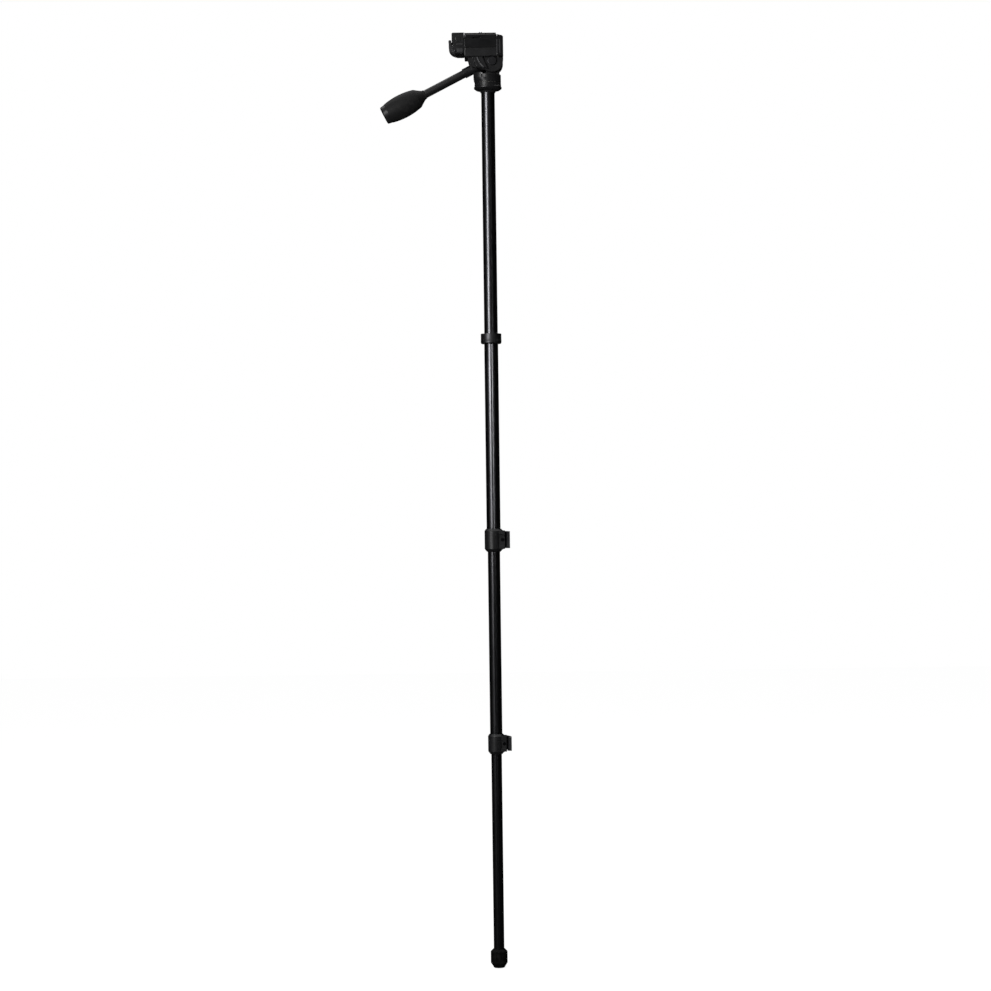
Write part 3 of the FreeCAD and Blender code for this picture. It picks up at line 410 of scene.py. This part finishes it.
# Rubber ribs across the pad, clear of the screw, and the raised rim along its rear edge
def make_pad_ribs():
    low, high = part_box("plate_pad")
    middle, top = (low[0] + high[0]) / 2, high[2]
    rib_count, rib_half, rib_height, sunk = 17, 0.0008, 0.0004, 0.0003
    end_margin, side_margin = 0.0035, 0.003
    screw_reach, screw_gap = 0.0065, 0.0075
    near, far = low[1] + side_margin, high[1] - side_margin
    step = (high[0] - low[0] - 2 * end_margin) / (rib_count - 1)
    shape = bmesh.new()
    for index in range(rib_count):
        x = low[0] + end_margin + index * step
        crosses_screw = abs(x - middle) < screw_reach
        spans = ((near, -screw_gap), (screw_gap, far)) if crosses_screw else ((near, far),)
        for start, end in spans:
            bevelled_bar(shape, (x - rib_half, start, top - sunk),
                         (x + rib_half, end, top + rib_height), 0.0002)
    rim_outside, rim_inside, rim_depth = 0.0011, 0.0008, 0.0020
    bevelled_bar(shape, (low[0] - rim_outside, low[1], top - rim_depth),
                 (low[0] + rim_inside, high[1], top + 0.0003), 0.0004)
    place_piece(shape, "pad_ribs", "release_plate", pad_finish, bars=True)


make_pad_ribs()


# Level: the two black marks round the vial, and the bubble under its top
def make_level_marks():
    low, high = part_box("level_vial")
    x = (low[0] + high[0]) / 2
    y = (low[1] + high[1]) / 2 + 0.0006
    z = (low[2] + high[2]) / 2
    vial_radius = (high[2] - low[2]) / 2
    mark_place, mark_half = 0.0032, 0.0002
    inner, outer = vial_radius - 0.0002, vial_radius + 0.00008
    shape = bmesh.new()
    for side in (-1, 1):
        spin_outline(shape, [(inner, -mark_half), (outer, -mark_half), (outer, mark_half),
                             (inner, mark_half), (inner, -mark_half)],
                     facing((0, 1, 0), (x, y + side * mark_place, z)))
    place_piece(shape, "level_marks", "portrait_platform", knob_finish)

    bubble_half_sizes = (0.0016, 0.0026, 0.0007)
    shape = bmesh.new()
    bubble = bmesh.ops.create_uvsphere(shape, u_segments=24, v_segments=12, radius=1.0)["verts"]
    bmesh.ops.scale(shape, vec=bubble_half_sizes, verts=bubble)
    bmesh.ops.translate(shape, vec=(x, y, z + vial_radius - 0.0003), verts=bubble)
    place_piece(shape, "level_bubble", "portrait_platform", bubble_finish)


make_level_marks()


# Domed caps that close the ends of the two knobs
def make_knob_cap(name, node, body, direction, radius):
    low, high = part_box(node)
    middle = (Vector(low) + Vector(high)) / 2
    reach = Vector([(high[i] - low[i]) / 2 * direction[i] for i in range(3)])
    shape = bmesh.new()
    spin_outline(shape, [(0.0, -0.0010), (radius, -0.0010), (radius, 0.0003),
                         (radius - 0.0006, 0.0007), (radius * 0.6, 0.0011),
                         (radius * 0.3, 0.00135), (0.0, 0.0014)],
                 facing(direction, middle + reach))
    place_piece(shape, name, body, cap_finish)


make_knob_cap("pan_lock_cap", "pan_lock_knob", "pan_lock", (0, 1, 0), 0.0062)
make_knob_cap("flip_lock_cap", "flip_lock_knob", "portrait_lock", (-1, 0, 0), 0.0050)


# Raised panels on the two sides of the rear clamp, the rivet heads of its lever pin, and the
# screws below it
def make_clamp_trim():
    low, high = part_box("clamp_block")
    panel_front, proud, sunk = -0.0438, 0.0006, 0.0004
    panels = ((-0.0545, 1.6446, 1.6508), (-0.0555, 1.6574, 1.6596))
    shape = bmesh.new()
    for near, far in ((low[1] - proud, low[1] + sunk), (high[1] - sunk, high[1] + proud)):
        for rear, bottom, top in panels:
            bevelled_bar(shape, (rear, near, bottom), (panel_front, far, top), 0.0004)
    # The panels take the satin trim, whose paler grey is partly a painted highlight
    place_piece(shape, "clamp_side_panels", "portrait_platform", trim_finish,
                bars=True)

    pin_low, pin_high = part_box("clamp_lever_pin")
    x = (pin_low[0] + pin_high[0]) / 2
    z = (pin_low[2] + pin_high[2]) / 2
    rivet_outline = [(0.0, -0.0002), (0.0024, -0.0002), (0.0024, 0.0002), (0.0019, 0.0008),
                     (0.0011, 0.0011), (0.0, 0.0012)]
    shape = bmesh.new()
    for side, y in ((-1, low[1]), (1, high[1])):
        spin_outline(shape, rivet_outline, facing((0, side, 0), (x, y, z)), 32)
    place_piece(shape, "clamp_pin_heads", "portrait_platform", dark_steel_finish)

    screw_x, screw_y = -0.0470, 0.0182
    shape = bmesh.new()
    for y in (-screw_y, screw_y):
        star_screw(shape, 0.0022, 0.0012, facing((0, 0, -1), (screw_x, y, low[2])))
    place_piece(shape, "clamp_screws", "portrait_platform", dark_steel_finish)


make_clamp_trim()


# Soft pad on the inner face and tip of the rear clamp lever, clear of the block behind it
def make_lever_pad():
    low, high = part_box("clamp_lever")
    outer, top = low[0], high[2]
    half_width, tip_half_width = 0.0130, 0.0132
    shape = bmesh.new()
    bevelled_bar(shape, (outer + 0.0038, -half_width, top - 0.0125),
                 (outer + 0.0066, half_width, top - 0.0008), 0.0008)
    bevelled_bar(shape, (outer - 0.0003, -tip_half_width, top - 0.0020),
                 (outer + 0.0046, tip_half_width, top + 0.0034), 0.0012)
    place_piece(shape, "lever_pad", "clamp_lever", pad_finish, bars=True)


make_lever_pad()


# Upright ribs on the end of the front rail
def make_rail_ribs():
    rail_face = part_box("flip_platform")[0][1]
    rib_width, bottom, top = 0.0026, 1.6405, 1.6655
    shape = bmesh.new()
    for x in (0.0162, 0.0212):
        bevelled_bar(shape, (x, rail_face - 0.0003, bottom),
                     (x + rib_width, rail_face + 0.0006, top), 0.0003)
    place_piece(shape, "rail_ribs", "portrait_platform", knob_finish, bars=True)


make_rail_ribs()


# Cranked stiffening ridges moulded on the panels of the two cheeks
def make_cheek_ridges():
    cheek_face, half_width, half_depth = 0.0229, 0.0024, 0.0011
    runs = (((-0.0188, 1.6345), (-0.0136, 1.6226)), ((-0.0139, 1.6233), (-0.0064, 1.6158)))
    shape = bmesh.new()
    for side in (-1, 1):
        for (start_x, start_z), (end_x, end_z) in runs:
            run = Vector((end_x - start_x, 0, end_z - start_z))
            half_length = run.length / 2
            ridge = bevelled_bar(shape, (-half_width, -half_depth, -half_length),
                                 (half_width, half_depth, half_length), 0.00095)
            middle = ((start_x + end_x) / 2, side * cheek_face, (start_z + end_z) / 2)
            bmesh.ops.rotate(shape, cent=(0, 0, 0), matrix=run.to_track_quat("Z", "Y").to_matrix(),
                             verts=ridge)
            bmesh.ops.translate(shape, vec=middle, verts=ridge)
    # The ridges take the paler painted-highlight grey
    place_piece(shape, "cheek_ridges", "tilt_head", ridge_sheen_finish, bars=True)


make_cheek_ridges()


# Raised marks round the pan base, one every fifteen degrees, with every other one long
def make_pan_marks():
    count, half_width, inner, outer = 24, 0.00025, 0.0234, 0.0239
    bottom, short_top, long_top = 1.5853, 1.5873, 1.5886
    shape = bmesh.new()
    for index in range(count):
        top = short_top if index % 2 else long_top
        mark = bevelled_bar(shape, (inner, -half_width, bottom), (outer, half_width, top), 0.0001)
        turn = Matrix.Rotation(math.tau * index / count, 3, "Z")
        bmesh.ops.rotate(shape, cent=(0, 0, 0), matrix=turn, verts=mark)
    place_piece(shape, "pan_marks", "upper_leg", head_finish, bars=True)


make_pan_marks()


# Beads round the collar at the top of the leg
def make_collar_beads():
    low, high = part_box("leg_top_collar")
    radius = (high[0] - low[0]) / 2
    sunk, shoulder, crest = radius - 0.0004, radius + 0.00015, radius + 0.0003
    first, spacing = low[2] + 0.0042, 0.0014
    shape = bmesh.new()
    for index in range(3):
        z = first + index * spacing
        spin_outline(shape, [(sunk, z - 0.0005), (shoulder, z - 0.0004), (crest, z),
                             (shoulder, z + 0.0004), (sunk, z + 0.0005), (sunk, z - 0.0005)],
                     Matrix.Identity(4), 96)
    place_piece(shape, "collar_beads", "upper_leg", collar_finish)


make_collar_beads()


# Floor, white background and dark flags: not part of the object
def stage_object(shape, name):
    mesh = bpy.data.meshes.new(name)
    shape.to_mesh(mesh)
    shape.free()
    piece = bpy.data.objects.new(name, mesh)
    bpy.context.scene.collection.objects.link(piece)
    return piece


def level_square(name, side, height):
    shape = bmesh.new()
    bmesh.ops.create_grid(shape, x_segments=1, y_segments=1, size=side / 2)
    bmesh.ops.translate(shape, vec=(0, 0, height), verts=shape.verts)
    return stage_object(shape, name)


def open_cylinder(name, radius, height):
    shape = bmesh.new()
    bmesh.ops.create_circle(shape, segments=96, radius=radius)
    sides = bmesh.ops.extrude_edge_only(shape, edges=shape.edges[:])
    raised = [v for v in sides["geom"] if isinstance(v, bmesh.types.BMVert)]
    bmesh.ops.translate(shape, vec=(0, 0, height), verts=raised)
    return stage_object(shape, name)


def linked_maximum(tree, first, second):
    node = tree.nodes.new("ShaderNodeMath")
    node.operation = "MAXIMUM"
    tree.links.new(first, node.inputs[0])
    tree.links.new(second, node.inputs[1])
    return node.outputs[0]


def white_to_rays(tree, closure, glow_kind, output, strength, share=1.0):
    """Mixes white light over a closure by a share, for camera, glossy and transmission rays."""
    rays = tree.nodes.new("ShaderNodeLightPath").outputs
    seen = linked_maximum(tree, rays["Is Camera Ray"], rays["Is Glossy Ray"])
    seen = linked_maximum(tree, seen, rays["Is Transmission Ray"])
    glow = add_node(tree, glow_kind, Color=(1, 1, 1, 1), Strength=strength)
    blend = tree.nodes.new("ShaderNodeMixShader")
    tree.links.new(ranged(tree, seen, 0.0, 1.0, 0.0, share), blend.inputs[0])
    tree.links.new(closure, blend.inputs[1])
    tree.links.new(glow.outputs[0], blend.inputs[2])
    tree.links.new(blend.outputs[0], tree.nodes[output].inputs["Surface"])


# Pale floor, just under the foot. Its own shading keeps a quarter, so that it holds shadows
floor = level_square("floor", 14.0, -0.0005)
floor_material, floor_tree, floor_shader = start_material("pale_floor")
speck = placed_noise(floor_tree, (1, 1, 1), 3.0)
pale = mixed_colour(floor_tree, speck, (0.90, 0.90, 0.90), (0.93, 0.93, 0.93))
floor_tree.links.new(pale, floor_shader.inputs["Base Color"])
floor_shader.inputs["Roughness"].default_value = 0.9
floor_shader.inputs["Specular IOR Level"].default_value = 0.0
white_to_rays(floor_tree, floor_shader.outputs[0], "ShaderNodeEmission", "Material Output", 1.18,
              0.75)
floor.data.materials.append(floor_material)

# Dark curtain and floor cloth: only reflections see them, as in a studio kept dark round the object
flag_material, _, flag_shader = start_material("dark_flag")
flag_shader.inputs["Base Color"].default_value = (0.02, 0.02, 0.02, 1)
flag_shader.inputs["Roughness"].default_value = 1.0
flag_shader.inputs["Specular IOR Level"].default_value = 0.0
for flag in (open_cylinder("dark_curtain", 6.0, 7.0), level_square("dark_apron", 12.0, 0.0002)):
    flag.data.materials.append(flag_material)
    flag.visible_camera = False
    flag.visible_diffuse = False
    flag.visible_shadow = False
    flag.visible_transmission = False

# World: white to the camera, dim as a light
world = bpy.data.worlds.new("studio")
bpy.context.scene.world = world
world.use_nodes = True
dim = world.node_tree.nodes["Background"]
dim.inputs["Color"].default_value = (1, 1, 1, 1)
dim.inputs["Strength"].default_value = 0.45
white_to_rays(world.node_tree, dim.outputs[0], "ShaderNodeBackground", "World Output", 1.0)


def soft_box(name, place, target_height, width, height, power):
    """A rectangular lamp aimed at the object's axis; power is in watts."""
    lamp = bpy.data.lights.new(name, "AREA")
    lamp.shape = "RECTANGLE"
    lamp.size = width
    lamp.size_y = height
    lamp.energy = power
    rig = bpy.data.objects.new(name, lamp)
    rig.location = place
    aim = Vector((0, 0, target_height)) - Vector(place)
    rig.rotation_euler = aim.to_track_quat("-Z", "Y").to_euler()
    bpy.context.scene.collection.objects.link(rig)
    return rig


# Lamps: a tall box left of the camera, a weak strip to its right, two boxes at the back, one above
soft_box("key_box", (-1.35, -2.1, 1.68), 1.26, 0.50, 1.50, 53.0)
soft_box("side_strip", (1.43, -2.75, 1.16), 1.0, 0.12, 0.36, 1.9)
for name, x in (("back_box_left", -1.5), ("back_box_right", 1.5)):
    back_box = soft_box(name, (x, 1.3, 4.0), 1.2, 0.7, 0.7, 11.0)
    back_box.visible_camera = False
soft_box("top_box", (0, 0.4, 4.0), 1.2, 1.2, 1.2, 9.0)

# Camera: level and slightly rolled, facing the side with the locks' levers on its right
distance, picture_width, picture_middle = 4.2, 1.784, (0.0042, 0.849)
roll = math.radians(0.753)
lens = bpy.data.cameras.new("view")
lens.sensor_width = 36.0
lens.lens = lens.sensor_width * distance / picture_width
camera = bpy.data.objects.new("view", lens)
turn = Matrix.Rotation(math.radians(90), 3, "X") @ Matrix.Rotation(-roll, 3, "Z")
camera.rotation_euler = turn.to_euler()
camera.location = (picture_middle[0], -distance, picture_middle[1])
bpy.context.scene.collection.objects.link(camera)
bpy.context.scene.camera = camera

bpy.context.scene.view_settings.view_transform = "Standard"
